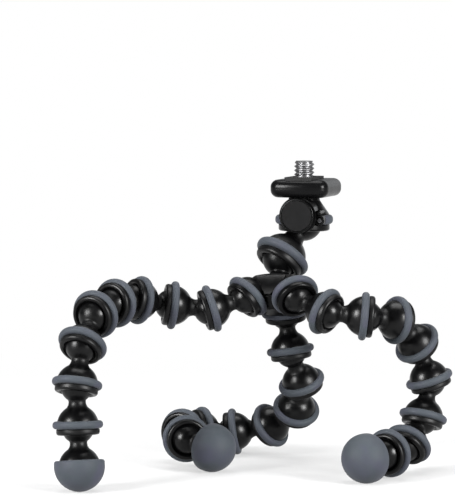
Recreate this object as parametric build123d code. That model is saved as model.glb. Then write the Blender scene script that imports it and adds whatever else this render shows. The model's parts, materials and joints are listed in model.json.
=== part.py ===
from build123d import *
import math
import os

# Flexible-leg mini tripod: a three-way hub, three legs of nine ball-and-socket
# links each, a short neck link, and a quick-release head with a push button.
# Millimetres, +Z up, feet on the plane Z = 0.

# ----------------------------------------------------------------------------
# driving dimensions (mm)
# ----------------------------------------------------------------------------
LINK_COUNT = 8            # ringed links in each leg, before the foot link
PITCH = 12.2              # ball centre to ball centre along one leg link
BALL_R = 4.85             # ball of a leg link
FIT = 0.08                # radial running clearance, ball in socket
SOCKET_R = BALL_R + FIT
NECK_R = 2.38             # slimmest part of the neck
DOME_R = 6.25             # outside of the socket shell
DOME_BACK = 0.5           # shell centre sits this far behind the socket centre
SEAT_R = 5.75             # floor of the groove that holds the grip ring
RING_R = 7.5              # outside of the rubber grip ring
RING_BACK = 2.05          # ring edge behind the socket centre
RING_FRONT = 0.45         # ring edge in front of the socket centre
RING_ROUND = 1.15
LIP_R = 6.45              # moulded lip below the ring
LIP_FRONT = 2.2
MOUTH_T = 1.65            # where the socket wall ends, from the socket centre
CHAMFER_R = 5.25          # flared mouth

FOOT_CAP_Z = 11.4         # centre of the rubber cap's sphere
FOOT_CAP_R = 7.55
FOOT_CAP_TOP = 9.6        # upper edge of the cap

K = 1.2                   # the neck and the head joint are this much larger

HUB_R = 9.428             # hub axis to leg socket centres
HUB_TILT = 53.61           # leg sockets point this far below the hub's plane, deg
HUB_TOP = 15.102          # hub plane to the centre of the top ball

# rest pose: where the hub stands, and which way every link points
HUB_POS = (0.0, 0.0, 51.749)
HUB_X = (0.9036, 0.3886, -0.1806)
HUB_UP = (-0.0188, 0.4569, 0.8893)
NECK_UP = (0.3659, 0.5467, 0.7532)
ORIGIN_SHIFT = (-0.661, 18.842, 0.0175)   # puts the origin under the middle of the whole

LEG_A = [(-0.8700, -0.4046, -0.2819), (-0.9099, -0.3967, 0.1215), (-0.6352, -0.7513, 0.1791),
         (-0.2866, -0.9580, -0.0133), (-0.1681, -0.9632, -0.2097), (-0.0698, -0.7156, -0.6950),
         (-0.0137, -0.3180, -0.9480), (0.0595, -0.0934, -0.9938), (0.0904, -0.1382, -0.9863)]
LEG_B = [(0.1433, 0.0126, -0.9896), (0.1887, 0.4422, -0.8768), (-0.3220, 0.5478, -0.7722),
         (-0.8159, 0.2980, -0.4954), (-0.9666, -0.2008, -0.1592), (-0.7113, -0.6928, 0.1186),
         (-0.1674, -0.9839, 0.0624), (0.4381, -0.8983, -0.0339), (0.8724, -0.4698, -0.1345)]
LEG_C = [(0.8952, -0.2707, -0.3540), (0.9581, 0.2685, -0.0999), (0.6440, 0.7498, -0.1521),
         (0.3793, 0.6316, -0.6762), (0.2847, 0.1406, -0.9483), (-0.1115, -0.3341, -0.9359),
         (-0.2223, -0.7862, -0.5766), (-0.2852, -0.9548, -0.0838), (-0.3590, -0.9333, -0.0079)]
LEGS = (("leg_a", LEG_A, 180.0), ("leg_b", LEG_B, 60.0), ("leg_c", LEG_C, 300.0))

# head, measured from the head ball's centre, front towards -Y
HEAD_RING_R = 9.15
HEAD_RING_LOW = -0.45
HEAD_RING_HIGH = 2.55
HEAD_SEAT_R = 7.3
HEAD_LIP_R = 8.1
HEAD_LIP_LOW = -2.5
HEAD_MOUTH_T = 1.5
POST_R = 4.86
POST_TOP = 8.0
BUTTON_H = 2.5            # height of the button's axis
BUTTON_R = 4.85
BEZEL_R = 5.45
COLLAR_R = 5.95
BUTTON_FACE = 9.25        # front of the button, forward of the axis
BUTTON_THICK = 1.2
BUTTON_TRAVEL = 0.85
PIN_X = 6.6
PIN_H = 1.1
STUD_X = 6.35             # small stud above the pin
STUD_H = 3.45
STUD_R = 0.85
RING_CUT = 5.2            # the head's grip ring ends this far forward
RAIL_NECK_W = 6.4
RAIL_HEAD_W = 8.6
RAIL_LEN = 14.0
RAIL_STEP = 9.05
RAIL_TOP = 10.2
CLIP_W = 18.8
CLIP_FRONT = 9.35         # front face at its middle, forward of the axis
CLIP_BACK = 13.35         # the clip reaches further back than forward
CLIP_BULGE = 1.1          # crown of the front face across the width
CLIP_LOW = 8.15
CLIP_TOP = 13.8
CLIP_CORNER = 3.4
CLIP_ROUND = 2.4
SLOT_GAP = 0.1
PAD_TOP = 14.6
PAD_W = 9.0
PAD_D = 16.2
SCREW_R = 3.175           # quarter-inch camera screw, outside the thread
SCREW_LEN = 5.0           # above the pad
SCREW_FOOT = 0.1          # the full diameter starts this far above the pad; the shank is relieved below
SCREW_HEAD_R = 4.3

# ----------------------------------------------------------------------------
# helpers
# ----------------------------------------------------------------------------


def unit(v):
    n = math.sqrt(sum(c * c for c in v))
    return tuple(c / n for c in v)


def add(a, b, s=1.0):
    return tuple(x + s * y for x, y in zip(a, b))


def dot(a, b):
    return sum(x * y for x, y in zip(a, b))


def cross(a, b):
    return (a[1] * b[2] - a[2] * b[1], a[2] * b[0] - a[0] * b[2], a[0] * b[1] - a[1] * b[0])


def place(origin, zdir, xdir=None):
    """Location that carries the local +Z onto zdir."""
    if xdir is None:
        return Location(Plane(origin=origin, z_dir=zdir))
    return Location(Plane(origin=origin, x_dir=xdir, z_dir=zdir))


def line(p, q):
    return Edge.make_line((p[0], 0, p[1]), (q[0], 0, q[1]))


def arc(p, q, c):
    """Shorter arc from p to q about c, in the (radius, z) half plane."""
    a0 = math.atan2(p[1] - c[1], p[0] - c[0])
    a1 = math.atan2(q[1] - c[1], q[0] - c[0])
    d = (a1 - a0 + math.pi) % (2 * math.pi) - math.pi
    r = math.hypot(p[0] - c[0], p[1] - c[1])
    m = (c[0] + r * math.cos(a0 + d / 2), c[1] + r * math.sin(a0 + d / 2))
    return Edge.make_three_point_arc((p[0], 0, p[1]), (m[0], 0, m[1]), (q[0], 0, q[1]))


def arc3(p, m, q):
    return Edge.make_three_point_arc((p[0], 0, p[1]), (m[0], 0, m[1]), (q[0], 0, q[1]))


def corner(prev, p, nxt, r):
    """Fillet of a straight corner: returns the two tangent points and centre."""
    a = (prev[0] - p[0], prev[1] - p[1])
    b = (nxt[0] - p[0], nxt[1] - p[1])
    la, lb = math.hypot(*a), math.hypot(*b)
    a = (a[0] / la, a[1] / la)
    b = (b[0] / lb, b[1] / lb)
    half = math.acos(max(-1, min(1, a[0] * b[0] + a[1] * b[1]))) / 2
    t = r / math.tan(half)
    s = (a[0] + b[0], a[1] + b[1])
    ls = math.hypot(*s)
    c = (p[0] + s[0] / ls * r / math.sin(half), p[1] + s[1] / ls * r / math.sin(half))
    return (p[0] + a[0] * t, p[1] + a[1] * t), (p[0] + b[0] * t, p[1] + b[1] * t), c


def chain(points):
    """Straight path through (r, z[, fillet]) points, as edges plus its ends."""
    edges = []
    cur = (points[0][0], points[0][1])
    for i in range(1, len(points)):
        p = points[i]
        if i < len(points) - 1 and len(p) == 3 and p[2] > 0:
            t0, t1, c = corner(cur, (p[0], p[1]), (points[i + 1][0], points[i + 1][1]), p[2])
            edges.append(line(cur, t0))
            edges.append(arc(t0, t1, c))
            cur = t1
        else:
            edges.append(line(cur, (p[0], p[1])))
            cur = (p[0], p[1])
    return edges


def lathe(edges):
    return revolve(Face(Wire(edges)), axis=Axis.Z, revolution_arc=360)


def sphere_r(radius, centre, z):
    return math.sqrt(radius * radius - (z - centre) ** 2)


# ----------------------------------------------------------------------------
# leg link: ball, neck, domed socket shell with a lip, and its grip ring
# ----------------------------------------------------------------------------


def ball_and_neck(k):
    """Edges from the ball's far pole to the start of the dome."""
    rb = BALL_R * k
    j = NECK_R * k + 0.03 * k
    zj = math.sqrt(rb * rb - j * j)
    zd = (PITCH - DOME_BACK) * k
    rd = 3.4 * k
    z3 = zd - math.sqrt((DOME_R * k) ** 2 - rd * rd)
    e = [arc3((0, -rb), (rb, 0), (j, zj)),
         arc3((j, zj), (NECK_R * k, 5.0 * k), (rd, z3))]
    return e, (rd, z3)


def link_shell(k=1.0):
    p = PITCH * k
    e, start = ball_and_neck(k)
    zd = p - DOME_BACK * k
    rr = sphere_r(DOME_R * k, zd, p - RING_BACK * k)
    e.append(arc(start, (rr, p - RING_BACK * k), (0, zd)))
    e += chain([(rr, p - RING_BACK * k), (SEAT_R * k, p - RING_BACK * k), (SEAT_R * k, p + RING_FRONT * k),
                (LIP_R * k, p + RING_FRONT * k, 0.25 * k), (LIP_R * k, p + LIP_FRONT * k, 0.65 * k),
                (CHAMFER_R * k, p + LIP_FRONT * k),
                (sphere_r(SOCKET_R * k, 0, MOUTH_T * k), p + MOUTH_T * k)])
    rm = sphere_r(SOCKET_R * k, 0, MOUTH_T * k)
    e.append(arc3((rm, p + MOUTH_T * k),
                  (SOCKET_R * k * math.cos(math.radians(35)), p - SOCKET_R * k * math.sin(math.radians(35))),
                  (0, p - SOCKET_R * k)))
    e.append(line((0, p - SOCKET_R * k), (0, -BALL_R * k)))
    return lathe(e)


def ring_profile(inner, outer, low, high, rnd):
    return chain([(inner, low), (outer, low, rnd), (outer, high, rnd), (inner, high), (inner, low)])


def link_ring(k=1.0):
    p = PITCH * k
    return lathe(ring_profile(SEAT_R * k, RING_R * k, p - RING_BACK * k, p + RING_FRONT * k, RING_ROUND * k))


def foot_core():
    e, start = ball_and_neck(1.0)
    # the foot's dome starts where an ordinary link's does, and closes as a sphere
    zd = PITCH - DOME_BACK
    e.append(arc(start, (DOME_R, zd), (0, zd)))
    e.append(arc((DOME_R, zd), (0, zd + DOME_R), (0, zd)))
    e.append(line((0, zd + DOME_R), (0, -BALL_R)))
    return lathe(e)


def foot_cap():
    zd = PITCH - DOME_BACK
    rt = sphere_r(DOME_R, zd, FOOT_CAP_TOP)
    e = [arc((0, FOOT_CAP_Z + FOOT_CAP_R), (FOOT_CAP_R, FOOT_CAP_Z), (0, FOOT_CAP_Z))]
    e += chain([(FOOT_CAP_R, FOOT_CAP_Z), (FOOT_CAP_R - 0.03, FOOT_CAP_TOP, 0.95), (rt, FOOT_CAP_TOP)])
    e.append(arc((rt, FOOT_CAP_TOP), (DOME_R, zd), (0, zd)))
    e.append(arc((DOME_R, zd), (0, zd + DOME_R), (0, zd)))
    e.append(line((0, zd + DOME_R), (0, FOOT_CAP_Z + FOOT_CAP_R)))
    return lathe(e)


# ----------------------------------------------------------------------------
# hub, in its own frame: leg socket centres on the plane z = 0
# ----------------------------------------------------------------------------


def socket_outer():
    rr = sphere_r(DOME_R, -DOME_BACK, -RING_BACK)
    e = [arc3((0, -DOME_BACK - DOME_R),
              (DOME_R * math.cos(math.radians(50)), -DOME_BACK - DOME_R * math.sin(math.radians(50))),
              (rr, -RING_BACK))]
    e += chain([(rr, -RING_BACK), (SEAT_R, -RING_BACK), (SEAT_R, RING_FRONT), (LIP_R, RING_FRONT, 0.25),
                (LIP_R, LIP_FRONT, 0.65), (0, LIP_FRONT), (0, -DOME_BACK - DOME_R)])
    return lathe(e)


def socket_void():
    rm = sphere_r(SOCKET_R, 0, MOUTH_T)
    e = [arc3((0, -SOCKET_R), (SOCKET_R * math.cos(math.radians(35)), -SOCKET_R * math.sin(math.radians(35))),
              (rm, MOUTH_T))]
    e += chain([(rm, MOUTH_T), (CHAMFER_R, LIP_FRONT), (6.9, LIP_FRONT), (6.9, 5.5), (0, 5.5), (0, -SOCKET_R)])
    return lathe(e)


def socket_ring():
    return lathe(ring_profile(SEAT_R, RING_R, -RING_BACK, RING_FRONT, RING_ROUND))


def ring_void():
    return lathe(chain([(SEAT_R, -RING_BACK), (7.9, -RING_BACK), (7.9, RING_FRONT), (SEAT_R, RING_FRONT),
                        (SEAT_R, -RING_BACK)]))


def socket_frame(azimuth):
    a, d = math.radians(azimuth), math.radians(HUB_TILT)
    r = (math.cos(a), math.sin(a), 0)
    ax = (math.cos(d) * r[0], math.cos(d) * r[1], -math.sin(d))
    return (HUB_R * r[0], HUB_R * r[1], 0), ax


def build_hub():
    rb = BALL_R * K
    waist = 3.1
    # core with a shallow conical top and the waist below the top ball
    core = lathe(chain([(0, -3.4), (3.2, -3.4, 0.8), (8.1, 1.0, 1.5), (8.75, 3.0, 1.0), (8.75, 6.7, 0.8),
                        (4.4, 7.9, 0.9), (waist + 0.1, 9.2), (0, 9.2), (0, -3.4)]))
    for az in (0, 120, 240):
        cutter = Pos(6.4 + 10, 0, 0) * Box(20, 60, 60)
        core = core - Rot(0, 0, az) * cutter
    # raised tapering shields between the sockets, flared outwards at the blunt lower end
    side = Face(Wire(chain([(5.2, 6.6), (6.8, 6.6)]) + [arc3((6.8, 6.6), (7.0, 2.7), (8.1, -0.2))] +
                     chain([(8.1, -0.2), (5.2, -0.2), (5.2, 6.6)])))
    side = extrude(side, 6.0, both=True)
    front = Polygon((-0.9, -0.2), (0.9, -0.2), (2.45, 2.0), (5.0, 6.6), (-5.0, 6.6), (-2.45, 2.0), align=None)
    front = fillet(front.vertices(), 0.35)
    shield = extrude(Plane(origin=(5.2, 0, 0), x_dir=(0, 1, 0), z_dir=(1, 0, 0)) * front, 3.2) & side
    for az in (0, 120, 240):
        core = core + Rot(0, 0, az) * shield
    zj = -math.sqrt(rb * rb - waist * waist)
    top = lathe([arc3((0, HUB_TOP + rb), (rb, HUB_TOP), (waist, HUB_TOP + zj)),
                 arc3((waist, HUB_TOP + zj), (waist - 0.12, 9.65), (waist + 0.1, 9.2)),
                 line((waist + 0.1, 9.2), (waist + 0.1, 8.6)), line((waist + 0.1, 8.6), (0, 8.6)),
                 line((0, 8.6), (0, HUB_TOP + rb))])
    body = core + top
    outer, void, rvoid = socket_outer(), socket_void(), ring_void()
    for _, _, az in LEGS:
        o, ax = socket_frame(az)
        body = body + place(o, ax) * outer
    for _, _, az in LEGS:
        o, ax = socket_frame(az)
        body = body - place(o, ax) * void
        body = body - place(o, ax) * rvoid
    rings = []
    for _, _, az in LEGS:
        o, ax = socket_frame(az)
        rings.append(place(o, ax) * socket_ring())
    return body, rings


# ----------------------------------------------------------------------------
# head
# ----------------------------------------------------------------------------


def front_cylinder(r, y0, y1, h, x=0.0):
    """Cylinder along Y from y0 (rear) to y1 (front), both forward distances."""
    c = Cylinder(r, abs(y1 - y0), align=(Align.CENTER, Align.CENTER, Align.MIN))
    return Location(Plane(origin=(x, -y0, h), x_dir=(1, 0, 0), z_dir=(0, -1, 0))) * c


def build_head():
    rs = SOCKET_R * K
    rm = sphere_r(rs, 0, HEAD_MOUTH_T)
    outline = chain([(0, HEAD_LIP_LOW), (HEAD_LIP_R, HEAD_LIP_LOW, 0.7), (HEAD_LIP_R, HEAD_RING_LOW, 0.3),
                     (HEAD_SEAT_R, HEAD_RING_LOW), (HEAD_SEAT_R, HEAD_RING_HIGH), (7.95, HEAD_RING_HIGH, 0.25),
                     (7.85, 2.95, 0.3), (5.05, 7.0, 1.2), (POST_R, POST_TOP), (0, POST_TOP), (0, HEAD_LIP_LOW)])
    body = lathe(outline)
    # round push-button housing, flush below the clip
    collar = front_cylinder(COLLAR_R, 0, 8.1, BUTTON_H)
    collar = collar & (Pos(0, -5, 2.65) * Box(14, 20, 10.4))
    bezel = front_cylinder(BEZEL_R, 6.0, BUTTON_FACE, BUTTON_H)
    rim = bezel.edges().filter_by(GeomType.CIRCLE).sort_by(Axis.Y)[0]
    bezel = fillet([rim], 0.32)
    boss = front_cylinder(1.65, 0.5, 6.4, PIN_H, PIN_X)
    boss = fillet([boss.edges().filter_by(GeomType.CIRCLE).sort_by(Axis.Y)[0]], 0.25)
    stud = front_cylinder(STUD_R, 0.5, 6.9, STUD_H, STUD_X)
    stud = fillet([stud.edges().filter_by(GeomType.CIRCLE).sort_by(Axis.Y)[0]], 0.45)
    # dovetail rail for the clip
    rail_neck = Pos(0, 0, (POST_TOP - 0.5 + RAIL_STEP) / 2) * Box(RAIL_NECK_W, RAIL_LEN, RAIL_STEP - POST_TOP + 0.5)
    rail_neck = rail_neck & Pos(0, 0, 8.5) * Cylinder(7.3, 3)
    rail_head = Pos(0, 0, (RAIL_STEP + RAIL_TOP) / 2) * Box(RAIL_HEAD_W, RAIL_LEN, RAIL_TOP - RAIL_STEP)
    # under the rail, only the post reaches down to the cone
    keep_post = Pos(0, 0, 7.75) * Cylinder(POST_R, 0.5)
    rail_low = rail_neck & (Pos(0, 0, 8.0 + 1.0) * Box(30, 30, 2.0) + keep_post)
    body = body + collar + bezel + boss + stud + rail_low + rail_head
    # socket, mouth and the room the neck swings in
    void = lathe([arc3((0, rs), (rs, 0), (rm, -HEAD_MOUTH_T))] +
                 chain([(rm, -HEAD_MOUTH_T), (6.7, HEAD_LIP_LOW), (7.3, HEAD_LIP_LOW - 0.01), (7.6, -6.0),
                        (0, -6.0), (0, rs)]))
    body = body - void
    # button well, spring seat, ring groove behind the housing, pin hole
    body = body - front_cylinder(BUTTON_R + 0.07, 7.15, BUTTON_FACE + 1, BUTTON_H)
    body = body - front_cylinder(2.05, 6.6, 7.5, BUTTON_H)
    body = body - front_cylinder(1.1, 5.4, 7.0, PIN_H, PIN_X)
    return body


def build_head_ring():
    ring = lathe(ring_profile(HEAD_SEAT_R, HEAD_RING_R, HEAD_RING_LOW, HEAD_RING_HIGH, 1.25))
    front = Pos(0, -RING_CUT - 10, 1) * Box(40, 20, 20)
    ring = ring - front
    boss = front_cylinder(1.66, 0.5, 6.5, PIN_H, PIN_X) + front_cylinder(STUD_R + 0.01, 0.5, 7.0, STUD_H, STUD_X)
    ring = ring - boss - front_cylinder(COLLAR_R + 0.02, 0, 8.2, BUTTON_H)
    return sorted(ring.solids(), key=lambda s: s.volume)[-1]


def build_button():
    disc = front_cylinder(BUTTON_R, BUTTON_FACE - BUTTON_THICK, BUTTON_FACE, BUTTON_H)
    rim = disc.edges().filter_by(GeomType.CIRCLE).sort_by(Axis.Y)[0]
    disc = fillet([rim], 0.18)
    stem = front_cylinder(0.8, 7.5, BUTTON_FACE - BUTTON_THICK + 0.3, BUTTON_H)
    return disc + stem


def build_spring():
    """One-turn wave spring, drawn flat in its seat."""
    t = Torus(1.5, 0.24)
    return Location(Plane(origin=(0, -6.88, BUTTON_H), x_dir=(1, 0, 0), z_dir=(0, -1, 0))) * t


def build_pin():
    c = front_cylinder(1.1, 5.4, 6.15, PIN_H, PIN_X)
    rim = c.edges().filter_by(GeomType.CIRCLE).sort_by(Axis.Y)[0]
    return fillet([rim], 0.5)


def build_clip():
    h = CLIP_W / 2
    f = -(CLIP_FRONT - CLIP_BULGE)
    outline = Wire([Edge.make_three_point_arc((-h, f, CLIP_LOW), (0, -CLIP_FRONT, CLIP_LOW), (h, f, CLIP_LOW)),
                    Edge.make_line((h, f, CLIP_LOW), (h, CLIP_BACK, CLIP_LOW)),
                    Edge.make_line((h, CLIP_BACK, CLIP_LOW), (-h, CLIP_BACK, CLIP_LOW)),
                    Edge.make_line((-h, CLIP_BACK, CLIP_LOW), (-h, f, CLIP_LOW))])
    b = extrude(Face(outline), CLIP_TOP - CLIP_LOW, dir=(0, 0, 1))
    b = fillet(b.edges().filter_by(Axis.Z), CLIP_CORNER)
    b = fillet(b.faces().sort_by(Axis.Z)[-1].edges() + b.faces().sort_by(Axis.Z)[0].edges(), CLIP_ROUND)
    # slot for the rail, open at the back
    y0 = -(RAIL_LEN / 2 + 0.15)
    w0, w1 = RAIL_NECK_W + 2 * SLOT_GAP, RAIL_HEAD_W + 2 * SLOT_GAP
    step = RAIL_STEP - 0.1
    top = RAIL_TOP + 0.1
    b = b - Pos(0, y0 + 15, (CLIP_LOW - 1 + step) / 2) * Box(w0, 30, step - CLIP_LOW + 1)
    b = b - Pos(0, y0 + 15, (step + top) / 2) * Box(w1, 30, top - step)
    # screw head pocket and screw hole
    b = b - Pos(0, 0, (top - 0.2 + 11.6) / 2) * Cylinder(SCREW_HEAD_R + 0.12, 11.6 - top + 0.2)
    b = b - Pos(0, 0, 13.0) * Cylinder(SCREW_R + 0.08, 4.0)
    # seat for the pad
    b = b - pad_solid(0.0, hole=False)
    return b


def pad_solid(grow, hole=True):
    p = Pos(0, 0, (13.3 + PAD_TOP) / 2) * Box(PAD_W, PAD_D, PAD_TOP - 13.3)
    p = fillet(p.edges().filter_by(Axis.Z), 1.0)
    lug = Pos(0, -PAD_D / 2 + 0.55, (12.2 + PAD_TOP) / 2) * Box(PAD_W - 2.0, 1.1, PAD_TOP - 12.2)
    p = p + lug
    if hole:
        p = p - Pos(0, 0, 14) * Cylinder(SCREW_R + 0.5, 6)
    return p


def build_screw():
    head = Pos(0, 0, 10.35) * Cylinder(SCREW_HEAD_R, 1.15, align=(Align.CENTER, Align.CENTER, Align.MIN))
    slot = Pos(0, 0, 10.35) * Box(1.2, 12, 1.1)
    relief = Pos(0, 0, 11.4) * Cylinder(SCREW_R - 0.35, PAD_TOP + 1.0 - 11.4,
                                        align=(Align.CENTER, Align.CENTER, Align.MIN))
    shank = Pos(0, 0, PAD_TOP + SCREW_FOOT) * Cylinder(SCREW_R, SCREW_LEN - SCREW_FOOT,
                                                       align=(Align.CENTER, Align.CENTER, Align.MIN))
    tip = shank.edges().filter_by(GeomType.CIRCLE).sort_by(Axis.Z)[-1]
    shank = chamfer([tip], 0.5)
    return (head - slot) + relief + shank


# ----------------------------------------------------------------------------
# assembly in the rest pose
# ----------------------------------------------------------------------------

os.makedirs("parts", exist_ok=True)


def save(shape, name):
    shape = Pos(*ORIGIN_SHIFT) * shape
    export_step(shape, "parts/" + name + ".step")
    print(name, round(shape.volume, 2))


hub_z = unit(HUB_UP)
hub_x = unit(add(HUB_X, hub_z, -dot(HUB_X, hub_z)))
hub_y = cross(hub_z, hub_x)


def hub_point(p):
    return tuple(HUB_POS[i] + p[0] * hub_x[i] + p[1] * hub_y[i] + p[2] * hub_z[i] for i in range(3))


hub_loc = place(HUB_POS, hub_z, hub_x)
hub_body, hub_rings = build_hub()
save(hub_loc * hub_body, "hub_body")
save(Compound([hub_loc * r for r in hub_rings]), "hub_grip_rings")

shell, ring, core, cap = link_shell(), link_ring(), foot_core(), foot_cap()
for leg, dirs, az in LEGS:
    o, _ = socket_frame(az)
    b = hub_point(o)
    for i, d in enumerate(dirs):
        u = unit(d)
        loc = place(b, u)
        if i < LINK_COUNT:
            save(Compound([loc * shell, loc * ring]), "%s_link_%d" % (leg, i + 1))
        else:
            save(loc * core, leg + "_foot_link")
            save(loc * cap, leg + "_foot_cap")
        b = add(b, u, PITCH)

neck_z = unit(NECK_UP)
top_ball = hub_point((0, 0, HUB_TOP))
head_ball = add(top_ball, neck_z, PITCH * K)
neck_loc = place(head_ball, tuple(-c for c in neck_z))
save(neck_loc * link_shell(K), "neck_link")
save(neck_loc * link_ring(K), "neck_grip_ring")

head_loc = Pos(*head_ball)
save(head_loc * build_head(), "head_body")
save(head_loc * build_head_ring(), "head_grip_ring")
save(head_loc * build_button(), "release_button")
save(head_loc * build_spring(), "button_spring")
save(head_loc * build_pin(), "lock_pin")
save(head_loc * build_clip(), "clip_plate")
save(head_loc * pad_solid(0.0), "clip_pad")
save(head_loc * build_screw(), "camera_screw")
print("head ball", head_ball, "top ball", top_ball)
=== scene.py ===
import json
import math

import bpy
import bmesh
from mathutils import Matrix, Vector


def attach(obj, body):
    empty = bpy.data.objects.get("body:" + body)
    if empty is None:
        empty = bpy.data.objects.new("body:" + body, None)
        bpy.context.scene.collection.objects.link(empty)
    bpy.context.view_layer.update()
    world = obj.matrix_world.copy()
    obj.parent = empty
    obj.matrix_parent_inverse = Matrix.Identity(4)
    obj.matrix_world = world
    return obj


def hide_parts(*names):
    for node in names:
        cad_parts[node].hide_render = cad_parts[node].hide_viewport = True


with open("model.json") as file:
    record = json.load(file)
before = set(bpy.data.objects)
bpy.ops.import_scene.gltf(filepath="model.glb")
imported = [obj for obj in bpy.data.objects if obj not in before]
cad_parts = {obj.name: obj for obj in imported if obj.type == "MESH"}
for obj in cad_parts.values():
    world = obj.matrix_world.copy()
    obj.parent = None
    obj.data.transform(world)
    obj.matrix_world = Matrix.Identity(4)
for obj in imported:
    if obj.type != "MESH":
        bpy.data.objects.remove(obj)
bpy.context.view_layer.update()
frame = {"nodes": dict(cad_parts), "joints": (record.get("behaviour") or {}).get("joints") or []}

# ---------------------------------------------------------------------------
# dimensions, in millimetres, as in the part's source
# ---------------------------------------------------------------------------
MM = 0.001
PITCH = 12.2
BALL_R = 4.85
SOCKET_R = 4.93
NECK_R = 2.38
DOME_R = 6.25
DOME_BACK = 0.5
SEAT_R = 5.75
RING_R = 7.5
RING_BACK = 2.05
RING_FRONT = 0.45
LIP_R = 6.45
LIP_FRONT = 2.2
MOUTH_T = 1.65
CHAMFER_R = 5.25
FOOT_CAP_Z = 11.4
FOOT_CAP_R = 7.55
FOOT_CAP_TOP = 9.6
K = 1.2
HUB_R = 9.428
HUB_TILT = 53.61
SHIFT = (-0.661, 18.842, 0.0175)
HUB_POS = (0.0, 0.0, 51.749)
HUB_X = (0.9036, 0.3886, -0.1806)
HUB_UP = (-0.0188, 0.4569, 0.8893)
FOOT_DIR = {"a": (0.0904, -0.1382, -0.9863), "b": (0.8724, -0.4698, -0.1345), "c": (-0.3590, -0.9333, -0.0079)}
AZIMUTH = {"a": 180.0, "b": 60.0, "c": 300.0}
SEG = 96

joint = {j["name"]: j for j in frame["joints"]}


def jpos(name):
    return Vector(joint[name]["pos_m"])


# ---------------------------------------------------------------------------
# node helpers
# ---------------------------------------------------------------------------


class Tree:
    def __init__(self, name):
        self.mat = bpy.data.materials.new(name)
        self.mat.use_nodes = True
        self.t = self.mat.node_tree
        self.t.nodes.clear()
        self.out = self.t.nodes.new("ShaderNodeOutputMaterial")
        self.bsdf = self.t.nodes.new("ShaderNodeBsdfPrincipled")
        self.t.links.new(self.bsdf.outputs[0], self.out.inputs[0])
        self.coord = self.t.nodes.new("ShaderNodeTexCoord").outputs["Object"]

    def node(self, kind, **props):
        n = self.t.nodes.new(kind)
        for k, v in props.items():
            setattr(n, k, v)
        return n

    def link(self, a, b):
        self.t.links.new(a, b)

    def noise(self, scale, detail=4.0, rough=0.55, dist=0.0):
        n = self.node("ShaderNodeTexNoise")
        self.link(self.coord, n.inputs["Vector"])
        n.inputs["Scale"].default_value = scale
        n.inputs["Detail"].default_value = detail
        n.inputs["Roughness"].default_value = rough
        n.inputs["Distortion"].default_value = dist
        return n.outputs["Fac"]

    def voronoi(self, scale, feature="F1"):
        n = self.node("ShaderNodeTexVoronoi", feature=feature)
        self.link(self.coord, n.inputs["Vector"])
        n.inputs["Scale"].default_value = scale
        return n.outputs["Distance"]

    def ramp(self, fac, a, b, lo=0.0, hi=1.0):
        n = self.node("ShaderNodeMapRange")
        n.interpolation_type = "SMOOTHSTEP"
        self.link(fac, n.inputs["Value"])
        n.inputs["From Min"].default_value = a
        n.inputs["From Max"].default_value = b
        n.inputs["To Min"].default_value = lo
        n.inputs["To Max"].default_value = hi
        return n.outputs["Result"]

    def math(self, op, a, b=None):
        n = self.node("ShaderNodeMath", operation=op)
        for i, v in enumerate((a, b)):
            if v is None:
                continue
            if isinstance(v, (int, float)):
                n.inputs[i].default_value = v
            else:
                self.link(v, n.inputs[i])
        return n.outputs[0]

    def mix(self, fac, c1, c2):
        n = self.node("ShaderNodeMix", data_type="RGBA")
        if isinstance(fac, (int, float)):
            n.inputs["Factor"].default_value = fac
        else:
            self.link(fac, n.inputs["Factor"])
        for key, c in (("A", c1), ("B", c2)):
            sock = [s for s in n.inputs if s.name == key and s.type == "RGBA"][0]
            if isinstance(c, tuple):
                sock.default_value = c + (1.0,)
            else:
                self.link(c, sock)
        return [s for s in n.outputs if s.type == "RGBA"][0]

    def bump(self, height, strength, distance, normal=None):
        n = self.node("ShaderNodeBump")
        n.inputs["Strength"].default_value = strength
        n.inputs["Distance"].default_value = distance
        self.link(height, n.inputs["Height"])
        if normal is not None:
            self.link(normal, n.inputs["Normal"])
        return n.outputs["Normal"]

    def xyz(self):
        n = self.node("ShaderNodeSeparateXYZ")
        self.link(self.coord, n.inputs[0])
        return n.outputs

    def set(self, **kw):
        for k, v in kw.items():
            s = self.bsdf.inputs[k.replace("_", " ")]
            if isinstance(v, bpy.types.NodeSocket):
                self.link(v, s)
            elif isinstance(v, tuple):
                s.default_value = v + (1.0,)
            else:
                s.default_value = v


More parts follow.
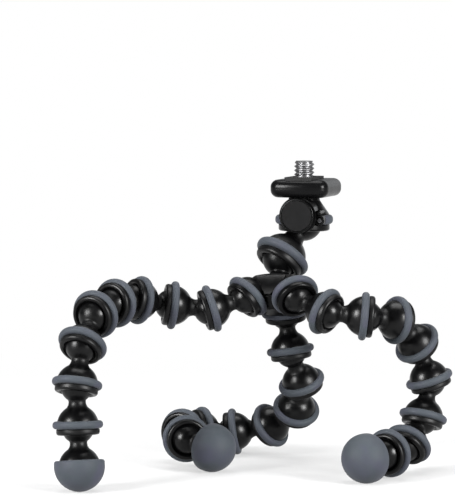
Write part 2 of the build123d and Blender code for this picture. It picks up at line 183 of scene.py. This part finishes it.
def black_plastic(name, rough=0.29, seam=True, tint=(0.0009, 0.0009, 0.0010), spec=0.17):
    """Satin moulded plastic: fine mould grain, faint handling haze and, on turned pieces, a mould seam."""
    t = Tree(name)
    haze = t.ramp(t.noise(160, 3.0, 0.6), 0.42, 0.72)
    grain = t.noise(5200, 3.0, 0.6)
    swirl = t.noise(620, 2.0, 0.5, 0.6)
    light = tuple(c * 1.7 + 0.0004 for c in tint)
    t.set(Base_Color=t.mix(haze, tint, light))
    r = t.math("ADD", t.ramp(haze, 0.0, 1.0, rough - 0.03, rough + 0.07), t.math("MULTIPLY", swirl, 0.05))
    if seam:
        # the necks and the socket lips come out of the mould a little duller than the balls and domes
        x, y = t.xyz()[0], t.xyz()[1]
        rad = t.math("SQRT", t.math("ADD", t.math("MULTIPLY", x, x), t.math("MULTIPLY", y, y)))
        r = t.math("ADD", r, t.ramp(rad, 0.0030, 0.0041, 0.15, 0.0))
        r = t.math("ADD", r, t.ramp(rad, 0.00585, 0.00625, 0.0, 0.12))
    speck = t.ramp(t.voronoi(900), 0.03, 0.10, 0.22, 0.0)
    t.set(Roughness=t.math("ADD", r, speck))
    nrm = t.bump(grain, 0.16, 0.00003)
    nrm = t.bump(swirl, 0.10, 0.00006, nrm)
    if seam:
        x = t.math("ABSOLUTE", t.xyz()[0])
        ridge = t.ramp(x, 0.00003, 0.00011, 1.0, 0.0)
        nrm = t.bump(ridge, 0.16, 0.00003, nrm)
    t.set(Normal=nrm)
    t.set(Specular_IOR_Level=spec, IOR=1.5)
    return t.mat


def grey_rubber(name, tint=(0.0306, 0.0346, 0.0434)):
    """Soft moulded rubber: matte stipple, slight cloudiness, a flash line round the rim."""
    t = Tree(name)
    cloud = t.noise(210, 4.0, 0.6)
    fine = t.noise(3800, 4.0, 0.65)
    cool = (tint[0] * 0.965, tint[1] * 1.035, tint[2] * 0.97)
    warm = (tint[0] * 1.045, tint[1] * 0.975, tint[2] * 1.105)
    hue = t.mix(t.ramp(t.noise(95, 2.0, 0.5, 0.4), 0.38, 0.60), cool, warm)
    deep = tuple(c * 0.93 for c in tint)
    col = t.mix(t.ramp(cloud, 0.28, 0.60), deep, hue)
    fleck = t.ramp(t.voronoi(2600), 0.02, 0.08, 0.18, 0.0)
    t.set(Base_Color=t.mix(fleck, col, tuple(c * 1.35 for c in tint)))
    t.set(Roughness=t.math("ADD", t.math("MULTIPLY", cloud, 0.12), 0.6))
    nrm = t.bump(fine, 0.28, 0.00006)
    nrm = t.bump(t.noise(900, 2.0, 0.5), 0.12, 0.0001, nrm)
    t.set(Normal=nrm, Sheen_Weight=0.04, Sheen_Roughness=0.5, Specular_IOR_Level=0.2)
    return t.mat


def gloss_plastic(name):
    """Polished black plastic with faint rubbing marks."""
    t = Tree(name)
    rub = t.noise(260, 5.0, 0.7, 0.8)
    t.set(Base_Color=t.mix(t.ramp(rub, 0.5, 0.8), (0.0022, 0.0022, 0.0024), (0.0046, 0.0046, 0.0049)))
    t.set(Roughness=t.ramp(rub, 0.3, 0.8, 0.24, 0.32))
    nrm = t.bump(t.noise(4200, 2.0, 0.5), 0.05, 0.00001)
    nrm = t.bump(t.noise(240, 1.0, 0.4), 0.12, 0.00008, nrm)
    t.set(Normal=nrm, Specular_IOR_Level=0.09)
    return t.mat


def button_plastic(name):
    """Spark-eroded matte face, fine and even."""
    t = Tree(name)
    grain = t.noise(6500, 5.0, 0.7)
    cloud = t.noise(300, 2.0, 0.5)
    t.set(Base_Color=t.mix(t.ramp(cloud, 0.35, 0.7), (0.0020, 0.0020, 0.0021), (0.0028, 0.0028, 0.0030)))
    t.set(Roughness=t.ramp(grain, 0.3, 0.7, 0.44, 0.58))
    t.set(Normal=t.bump(grain, 0.4, 0.00005), Specular_IOR_Level=0.08)
    return t.mat


def pad_rubber(name):
    """Black rubber pad with fine moulded ribs across it."""
    t = Tree(name)
    y = t.xyz()[1]
    wave = t.math("SINE", t.math("MULTIPLY", y, 2 * math.pi / 0.0009))
    rib = t.ramp(wave, -0.3, 0.5)
    cloud = t.noise(420, 4.0, 0.6)
    t.set(Base_Color=t.mix(t.ramp(cloud, 0.3, 0.75), (0.004, 0.004, 0.004), (0.009, 0.009, 0.0094)))
    t.set(Roughness=t.math("ADD", t.math("MULTIPLY", cloud, 0.15), 0.58))
    nrm = t.bump(rib, 0.55, 0.00018)
    nrm = t.bump(t.noise(4200, 3.0, 0.6), 0.2, 0.00005, nrm)
    t.set(Normal=nrm, Specular_IOR_Level=0.2)
    return t.mat


def steel(name, tint=(0.22, 0.22, 0.225), rough=0.38):
    """Turned and plated steel with fine machining rings and small dark spots."""
    t = Tree(name)
    z = t.xyz()[2]
    ring = t.math("SINE", t.math("MULTIPLY", z, 2 * math.pi / 0.00012))
    spot = t.ramp(t.noise(1500, 4.0, 0.7), 0.56, 0.72)
    t.set(Base_Color=t.mix(spot, tint, tuple(c * 0.6 for c in tint)))
    t.set(Roughness=t.math("ADD", t.math("MULTIPLY", spot, 0.2), rough), Metallic=1.0)
    nrm = t.bump(ring, 0.12, 0.00001)
    t.set(Normal=t.bump(t.noise(2500, 3.0, 0.6), 0.12, 0.00003, nrm))
    return t.mat


M_SHELL = black_plastic("moulded_black")
M_HUB = black_plastic("moulded_black_hub", 0.32, seam=False, spec=0.11)
M_HEAD = black_plastic("moulded_black_head", 0.24, seam=False, spec=0.12)
M_RUBBER = grey_rubber("grey_rubber")
M_CLIP = gloss_plastic("gloss_black")
M_BUTTON = button_plastic("button_charcoal")
M_PAD = pad_rubber("pad_rubber")
M_STEEL = steel("screw_steel")
M_SPRING = steel("spring_steel", (0.42, 0.42, 0.44), 0.3)
M_PIN = steel("pin_steel", (0.10, 0.10, 0.105), 0.22)

# ---------------------------------------------------------------------------
# turned meshes
# ---------------------------------------------------------------------------


class Path:
    """Profile in the (radius, z) half plane, in millimetres."""

    def __init__(self, r, z):
        self.p = [(r, z)]

    def to(self, r, z, n=1):
        a = self.p[-1]
        for i in range(1, n + 1):
            s = i / n
            self.p.append((a[0] + (r - a[0]) * s, a[1] + (z - a[1]) * s))
        return self

    def arc(self, r, z, cr, cz, n=8):
        """Shorter arc about (cr, cz) from the last point to (r, z)."""
        a = self.p[-1]
        a0 = math.atan2(a[1] - cz, a[0] - cr)
        a1 = math.atan2(z - cz, r - cr)
        d = (a1 - a0 + math.pi) % (2 * math.pi) - math.pi
        r0, r1 = math.hypot(a[0] - cr, a[1] - cz), math.hypot(r - cr, z - cz)
        for i in range(1, n + 1):
            s = i / n
            rr = r0 + (r1 - r0) * s
            self.p.append((cr + rr * math.cos(a0 + d * s), cz + rr * math.sin(a0 + d * s)))
        self.p[-1] = (r, z)
        return self

    def round(self, corner, nxt, rad, n=5):
        """Straight to near the corner, round it with rad, ready to go on to nxt."""
        a = Vector(self.p[-1])
        c, b = Vector(corner), Vector(nxt)
        u, v = (a - c).normalized(), (b - c).normalized()
        half = math.acos(max(-1, min(1, u.dot(v)))) / 2
        t = rad / math.tan(half)
        m = c + (u + v).normalized() * rad / math.sin(half)
        p, q = c + u * t, c + v * t
        self.to(p.x, p.y)
        self.arc(q.x, q.y, m.x, m.y, n)
        return self


def turned(name, path, scale=1.0, seg=SEG):
    pts = [(max(0.0, r) * scale * MM, z * scale * MM) for r, z in path.p]
    clean = [pts[0]]
    for q in pts[1:]:
        if math.hypot(q[0] - clean[-1][0], q[1] - clean[-1][1]) > 1e-7:
            clean.append(q)
    pts = clean
    closed = math.hypot(pts[0][0] - pts[-1][0], pts[0][1] - pts[-1][1]) < 1e-7
    if closed:
        pts = pts[:-1]
    verts, rows = [], []
    for r, z in pts:
        if r < 1e-8:
            rows.append([len(verts)] * seg)
            verts.append((0, 0, z))
        else:
            base = len(verts)
            rows.append([base + i for i in range(seg)])
            for i in range(seg):
                a = 2 * math.pi * i / seg
                verts.append((r * math.cos(a), r * math.sin(a), z))
    faces = []
    pairs = list(zip(rows, rows[1:])) + ([(rows[-1], rows[0])] if closed else [])
    for lo, hi in pairs:
        for i in range(seg):
            j = (i + 1) % seg
            f = [lo[i], lo[j], hi[j], hi[i]]
            g = []
            for v in f:
                if v not in g:
                    g.append(v)
            if len(g) > 2:
                faces.append(g)
    me = bpy.data.meshes.new(name)
    me.from_pydata(verts, [], faces)
    bm = bmesh.new()
    bm.from_mesh(me)
    bmesh.ops.recalc_face_normals(bm, faces=bm.faces)
    bm.to_mesh(me)
    bm.free()
    me.polygons.foreach_set("use_smooth", [True] * len(me.polygons))
    me.set_sharp_from_angle(angle=math.radians(38))
    me.update()
    return me


def sphere_r(radius, centre, z):
    return math.sqrt(max(0.0, radius * radius - (z - centre) ** 2))


def ball_and_neck(p):
    """From the ball's pole up to the start of the dome."""
    j = NECK_R + 0.03
    zj = math.sqrt(BALL_R ** 2 - j * j)
    p.arc(BALL_R, 0, 0, 0, 18)
    p.arc(j + 0.32, math.sqrt(BALL_R ** 2 - (j + 0.32) ** 2), 0, 0, 12)
    z3 = PITCH - DOME_BACK - math.sqrt(DOME_R ** 2 - 3.4 ** 2)
    # neck as one smooth waist
    q0, q1 = Vector(p.p[-1]), Vector((3.4, z3))
    t0 = Vector((-0.62, 0.78))
    t1 = Vector((0.84, 0.54))
    for i in range(1, 13):
        s = i / 12
        h00, h10 = 2 * s ** 3 - 3 * s ** 2 + 1, s ** 3 - 2 * s ** 2 + s
        h01, h11 = -2 * s ** 3 + 3 * s ** 2, s ** 3 - s ** 2
        q = q0 * h00 + t0 * 2.1 * h10 + q1 * h01 + t1 * 2.3 * h11
        p.p.append((max(q.x, NECK_R), q.y))
    return p


def shell_path():
    P, D = PITCH, PITCH - DOME_BACK
    p = ball_and_neck(Path(0, -BALL_R))
    rr = sphere_r(DOME_R, D, P - RING_BACK)
    p.arc(rr, P - RING_BACK, 0, D, 22)
    p.to(SEAT_R, P - RING_BACK)
    p.to(SEAT_R, P + RING_FRONT)
    p.round((LIP_R, P + RING_FRONT), (LIP_R, P + LIP_FRONT), 0.22)
    p.round((LIP_R, P + LIP_FRONT), (CHAMFER_R, P + LIP_FRONT), 0.85, 9)
    rm = sphere_r(SOCKET_R, 0, MOUTH_T)
    p.round((CHAMFER_R, P + LIP_FRONT), (rm, P + MOUTH_T), 0.14, 4)
    p.round((rm, P + MOUTH_T), (SOCKET_R, P + 0.6), 0.08, 3)
    p.arc(SOCKET_R, P, 0, P, 6)
    p.arc(0, P - SOCKET_R, 0, P, 14)
    return p


def ring_path(inner, outer, low, high, rnd=1.15):
    """Half-round rubber band with a fine flash line on its crest."""
    p = Path(inner, low)
    mid = (low + high) / 2
    p.round((outer, low), (outer, mid), rnd, 10)
    p.to(outer, mid - 0.05)
    p.to(outer, mid + 0.05)
    p.round((outer, high), (inner, high), rnd, 10)
    p.to(inner, high)
    p.to(inner, low)
    return p


def foot_core_path():
    D = PITCH - DOME_BACK
    p = ball_and_neck(Path(0, -BALL_R))
    p.arc(DOME_R, D, 0, D, 20)
    p.arc(0, D + DOME_R, 0, D, 12)
    return p


def foot_cap_path():
    D = PITCH - DOME_BACK
    rt = sphere_r(DOME_R, D, FOOT_CAP_TOP)
    p = Path(0, FOOT_CAP_Z + FOOT_CAP_R)
    p.arc(FOOT_CAP_R, FOOT_CAP_Z, 0, FOOT_CAP_Z, 26)
    p.round((FOOT_CAP_R - 0.03, FOOT_CAP_TOP), (rt, FOOT_CAP_TOP), 0.8, 8)
    p.round((rt + 0.04, FOOT_CAP_TOP), (rt + 0.04, FOOT_CAP_TOP + 0.6), 0.12, 3)
    p.to(rt + 0.02, FOOT_CAP_TOP + 0.2)
    p.arc(DOME_R + 0.01, D, 0, D, 6)
    p.arc(0, D + DOME_R + 0.01, 0, D, 12)
    return p


ME_SHELL = turned("link_shell", shell_path())
ME_RING = turned("link_ring", ring_path(SEAT_R, RING_R, PITCH - RING_BACK + 0.08, PITCH + RING_FRONT - 0.12, 1.05))
ME_CORE = turned("foot_core", foot_core_path())
ME_CAP = turned("foot_cap", foot_cap_path())
ME_NECK = turned("neck_shell", shell_path(), K)
ME_NECK_RING = turned("neck_ring", ring_path(SEAT_R, RING_R, PITCH - RING_BACK + 0.08, PITCH + RING_FRONT - 0.12, 1.05), K)
ME_HUB_RING = turned("hub_ring", ring_path(SEAT_R, RING_R, -RING_BACK + 0.08, RING_FRONT - 0.12, 1.05))


def frame_matrix(origin, zdir):
    z = Vector(zdir).normalized()
    ref = Vector((0, 0, 1)) if abs(z.z) < 0.9 else Vector((0, 1, 0))
    x = ref.cross(z).normalized()
    y = z.cross(x)
    m = Matrix((x, y, z)).transposed().to_4x4()
    m.translation = Vector(origin)
    return m


def piece(name, mesh, matrix, body, mat, slot, *nodes):
    o = bpy.data.objects.new(name, mesh)
    bpy.context.scene.collection.objects.link(o)
    o.matrix_world = matrix
    if not mesh.materials:
        mesh.materials.append(mat)
    bpy.context.view_layer.update()
    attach(o, body)
    if nodes:
        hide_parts(*nodes)
    return o


# legs
for leg in "abc":
    for i in range(1, 10):
        p = jpos("leg_%s_joint_%d" % (leg, i))
        if i < 9:
            m = frame_matrix(p, jpos("leg_%s_joint_%d" % (leg, i + 1)) - p)
            node = body = "leg_%s_link_%d" % (leg, i)
            piece("leg_%s_shell_%d" % (leg, i), ME_SHELL, m, body, M_SHELL, "black_plastic", node)
            piece("leg_%s_ring_%d" % (leg, i), ME_RING, m, body, M_RUBBER, "grey_rubber", node)
        else:
            m = frame_matrix(p, FOOT_DIR[leg])
            body = "leg_%s_foot" % leg
            piece("leg_%s_foot_shell" % leg, ME_CORE, m, body, M_SHELL, "black_plastic", "leg_%s_foot_link" % leg)
            piece("leg_%s_foot_rubber" % leg, ME_CAP, m, body, M_RUBBER, "grey_rubber", "leg_%s_foot_cap" % leg)

# neck
hub_ball, head_ball = jpos("hub_ball"), jpos("head_ball")
mn = frame_matrix(head_ball, hub_ball - head_ball)
piece("neck_shell", ME_NECK, mn, "neck", M_SHELL, "black_plastic", "neck_link")
piece("neck_rubber", ME_NECK_RING, mn, "neck", M_RUBBER, "grey_rubber", "neck_grip_ring")

# hub rings
hz = Vector(HUB_UP).normalized()
hx = Vector(HUB_X)
hx = (hx - hz * hx.dot(hz)).normalized()
hy = hz.cross(hx)
hub_o = (Vector(HUB_POS) + Vector(SHIFT)) * MM
for leg in "abc":
    a, d = math.radians(AZIMUTH[leg]), math.radians(HUB_TILT)
    r = hx * math.cos(a) + hy * math.sin(a)
    ax = r * math.cos(d) - hz * math.sin(d)
    piece("hub_ring_%s" % leg, ME_HUB_RING, frame_matrix(hub_o + r * HUB_R * MM, ax), "hub", M_RUBBER, "grey_rubber", "hub_grip_rings")


# camera screw: thread above the pad, relieved shank, head with a coin slot
def cut_box(mesh, size, centre):
    """Mesh minus an axis-aligned box, both in metres."""
    body = bpy.data.objects.new("cut_body", mesh)
    cm = bpy.data.meshes.new("cut_tool")
    bm = bmesh.new()
    bmesh.ops.create_cube(bm, size=1.0, matrix=Matrix.Translation(centre) @ Matrix.Diagonal((*size, 1.0)))
    bm.to_mesh(cm)
    bm.free()
    tool = bpy.data.objects.new("cut_tool", cm)
    col = bpy.context.scene.collection
    col.objects.link(body)
    col.objects.link(tool)
    m = body.modifiers.new("cut", "BOOLEAN")
    m.operation, m.solver, m.object = "DIFFERENCE", "EXACT", tool
    bpy.context.view_layer.update()
    dg = bpy.context.evaluated_depsgraph_get()
    out = bpy.data.meshes.new_from_object(body.evaluated_get(dg))
    bpy.data.objects.remove(body)
    bpy.data.objects.remove(tool)
    bm = bmesh.new()
    bm.from_mesh(out)
    bmesh.ops.remove_doubles(bm, verts=bm.verts[:], dist=2e-6)
    bmesh.ops.dissolve_degenerate(bm, dist=2e-6, edges=bm.edges[:])
    bm.to_mesh(out)
    bm.free()
    return out


def screw_mesh():
    pitch, R, depth = 1.27, 3.175, 0.62
    z0, z1 = 14.62, 19.6
    nth, per = 72, 18
    rows = int((z1 - z0) / pitch * per)
    verts, faces = [], []
    for k in range(rows + 1):
        z = z0 + (z1 - z0) * k / rows
        for i in range(nth):
            a = 2 * math.pi * i / nth
            ph = (z / pitch - i / nth) % 1.0
            tri = 1 - abs(2 * ph - 1)
            cut = max(0.0, min(1.0, (tri - 0.12) / 0.76))
            rr = R - depth * (1 - cut)
            rr = min(rr, R - 0.55 * (z - (z1 - 0.9)) / 0.9) if z > z1 - 0.9 else rr
            rr = min(rr, 2.75 + (z - z0) * 1.2)
            verts.append((rr * math.cos(a), rr * math.sin(a), z))
    for k in range(rows):
        for i in range(nth):
            j = (i + 1) % nth
            faces.append((k * nth + i, k * nth + j, (k + 1) * nth + j, (k + 1) * nth + i))
    for base, flip, z in ((0, True, z0), (rows * nth, False, z1)):
        c = len(verts)
        verts.append((0, 0, z))
        for i in range(nth):
            j = (i + 1) % nth
            faces.append((base + j, base + i, c) if flip else (base + i, base + j, c))
    head = Path(0, 10.35).round((4.3, 10.35), (4.3, 11.5), 0.18, 4).round((4.3, 11.5), (2.8, 11.5), 0.15, 4)
    head.round((2.8, 11.5), (2.8, 14.7), 0.12, 3).to(2.8, 14.7).to(0, 14.7)
    hm = cut_box(turned("screw_head", head, 1.0, 72), (0.0012, 0.012, 0.0011 * 2), Vector((0, 0, 0.01035)))
    off = len(verts)
    verts += [tuple(v.co / MM) for v in hm.vertices]
    faces += [tuple(off + v for v in f.vertices) for f in hm.polygons]
    me = bpy.data.meshes.new("camera_screw_detail")
    me.from_pydata([(x * MM, y * MM, (z - 12) * MM) for x, y, z in verts], [], faces)
    me.polygons.foreach_set("use_smooth", [True] * len(me.polygons))
    me.set_sharp_from_angle(angle=math.radians(32))
    return me


piece("camera_screw_threaded", screw_mesh(), Matrix.Translation(head_ball + Vector((0, 0, 0.012))), "screw", M_STEEL, "steel", "camera_screw")

# CAD nodes that stay: finish only
KEEP = {
    "hub_body": (M_HUB, "black_plastic"), "head_body": (M_HEAD, "black_plastic"), "head_grip_ring": (M_RUBBER, "grey_rubber"),
    "release_button": (M_BUTTON, "button_plastic"), "button_spring": (M_SPRING, "steel"), "lock_pin": (M_PIN, "dark_steel"),
    "clip_plate": (M_CLIP, "gloss_black_plastic"), "clip_pad": (M_PAD, "black_rubber"),
}
for name, (mat, _) in KEEP.items():
    o = frame["nodes"][name]
    o.data.materials.clear()
    o.data.materials.append(mat)

# ---------------------------------------------------------------------------
# floor, light, camera
# ---------------------------------------------------------------------------
scene = bpy.context.scene
scene.view_settings.view_transform = "Standard"
scene.view_settings.look = "None"
scene.view_settings.exposure = 0.0
scene.view_settings.gamma = 1.0

YAW = math.radians(17.0)
FWD = Vector((-math.sin(YAW), math.cos(YAW), 0))
RIGHT = Vector((math.cos(YAW), math.sin(YAW), 0))
UP = Vector((0, 0, 1))
CENTRE = Vector((0, 0, 0.05))


def floor():
    me = bpy.data.meshes.new("studio_floor")
    n, R = 64, 6.0
    verts = [(0, 0, 0)]
    faces = []
    rings = [0.15, 0.4, 1.0, 2.5, R]
    for r in rings:
        for i in range(n):
            a = 2 * math.pi * i / n
            verts.append((r * math.cos(a), r * math.sin(a), 0))
    for i in range(n):
        faces.append((0, 1 + i, 1 + (i + 1) % n))
    for k in range(len(rings) - 1):
        for i in range(n):
            j = (i + 1) % n
            faces.append((1 + k * n + i, 1 + (k + 1) * n + i, 1 + (k + 1) * n + j, 1 + k * n + j))
    me.from_pydata(verts, [], faces)
    o = bpy.data.objects.new("studio_floor", me)
    scene.collection.objects.link(o)
    t = Tree("floor_paper")
    x, y, z = t.xyz()
    d = t.math("SQRT", t.math("ADD", t.math("MULTIPLY", x, x), t.math("MULTIPLY", y, y)))
    far = t.ramp(d, 0.09, 0.34)
    fibre = t.noise(900, 5.0, 0.6)
    t.set(Base_Color=t.mix(fibre, (0.262, 0.262, 0.262), (0.280, 0.280, 0.280)), Roughness=0.9, Specular_IOR_Level=0.1)
    t.set(Emission_Color=(1, 1, 1), Emission_Strength=0.50)
    em = t.node("ShaderNodeEmission")
    em.inputs["Color"].default_value = (1, 1, 1, 1)
    em.inputs["Strength"].default_value = 1.0
    mx = t.node("ShaderNodeMixShader")
    t.link(far, mx.inputs[0])
    t.link(t.bsdf.outputs[0], mx.inputs[1])
    t.link(em.outputs[0], mx.inputs[2])
    t.link(mx.outputs[0], t.out.inputs[0])
    me.materials.append(t.mat)


floor()

world = bpy.data.worlds.new("studio")
scene.world = world
world.use_nodes = True
wt = world.node_tree
wt.nodes.clear()
wo = wt.nodes.new("ShaderNodeOutputWorld")
mixw = wt.nodes.new("ShaderNodeMixShader")
lp = wt.nodes.new("ShaderNodeLightPath")
b_cam = wt.nodes.new("ShaderNodeBackground")
b_env = wt.nodes.new("ShaderNodeBackground")
b_cam.inputs[0].default_value = (1, 1, 1, 1)
b_cam.inputs[1].default_value = 1.0
b_env.inputs[0].default_value = (0.96, 0.98, 1.0, 1)
# the pale backdrop behind the tripod, seen in grazing reflections
wco = wt.nodes.new("ShaderNodeTexCoord")
wdot = wt.nodes.new("ShaderNodeVectorMath")
wdot.operation = "DOT_PRODUCT"
wdot.inputs[1].default_value = (0.29, 0.955, -0.07)
wt.links.new(wco.outputs["Generated"], wdot.inputs[0])
wmap = wt.nodes.new("ShaderNodeMapRange")
wmap.interpolation_type = "SMOOTHSTEP"
for key, v in (("From Min", 0.80), ("From Max", 0.965), ("To Min", 0.06), ("To Max", 1.0)):
    wmap.inputs[key].default_value = v
wt.links.new(wdot.outputs["Value"], wmap.inputs["Value"])
# dim fill from behind, so that the back of the tripod reads too
wback = wt.nodes.new("ShaderNodeVectorMath")
wback.operation = "DOT_PRODUCT"
wback.inputs[1].default_value = tuple(FWD)
wt.links.new(wco.outputs["Generated"], wback.inputs[0])
wfill = wt.nodes.new("ShaderNodeMapRange")
wfill.interpolation_type = "SMOOTHSTEP"
for key, v in (("From Min", 0.0), ("From Max", 0.9), ("To Min", 0.0), ("To Max", 0.26)):
    wfill.inputs[key].default_value = v
wt.links.new(wback.outputs["Value"], wfill.inputs["Value"])
wsum = wt.nodes.new("ShaderNodeMath")
wsum.operation = "ADD"
wt.links.new(wmap.outputs["Result"], wsum.inputs[0])
wt.links.new(wfill.outputs["Result"], wsum.inputs[1])
wt.links.new(wsum.outputs[0], b_env.inputs[1])
wt.links.new(lp.outputs["Is Camera Ray"], mixw.inputs[0])
wt.links.new(b_env.outputs[0], mixw.inputs[1])
wt.links.new(b_cam.outputs[0], mixw.inputs[2])
wt.links.new(mixw.outputs[0], wo.inputs[0])


def softbox(name, az, el, dist, w, h, power, colour=(1, 1, 1)):
    """az to the right of the camera axis, el above the horizon, degrees."""
    a, e = math.radians(az), math.radians(el)
    pos = CENTRE + (-FWD * math.cos(a) * math.cos(e) + RIGHT * math.sin(a) * math.cos(e) + UP * math.sin(e)) * dist
    li = bpy.data.lights.new(name, "AREA")
    li.shape = "RECTANGLE"
    li.size, li.size_y = w, h
    li.energy = power
    li.color = colour
    o = bpy.data.objects.new(name, li)
    scene.collection.objects.link(o)
    o.location = pos
    o.rotation_euler = (CENTRE - pos).to_track_quat("-Z", "Y").to_euler()
    return o


softbox("soft_left", -54, 19, 0.8, 0.26, 0.34, 15.0)
softbox("soft_right", 50, 17, 0.8, 0.26, 0.34, 15.0)
softbox("soft_top", 165, 80, 0.9, 0.7, 0.6, 8.5)

cam = bpy.data.cameras.new("camera")
cam.sensor_fit = "HORIZONTAL"
cam.sensor_width = 36.0
cam.lens = 2484.164 / 455.0 * 36.0
cam.clip_start, cam.clip_end = 0.01, 100.0
co = bpy.data.objects.new("camera", cam)
scene.collection.objects.link(co)
PITCH_DOWN = math.radians(3.951789)
look = FWD * math.cos(PITCH_DOWN) - UP * math.sin(PITCH_DOWN)
co.location = (Vector((211.8882, -744.7377, 122.6181)) + Vector(SHIFT)) * MM
co.rotation_euler = look.to_track_quat("-Z", "Y").to_euler()
scene.camera = co
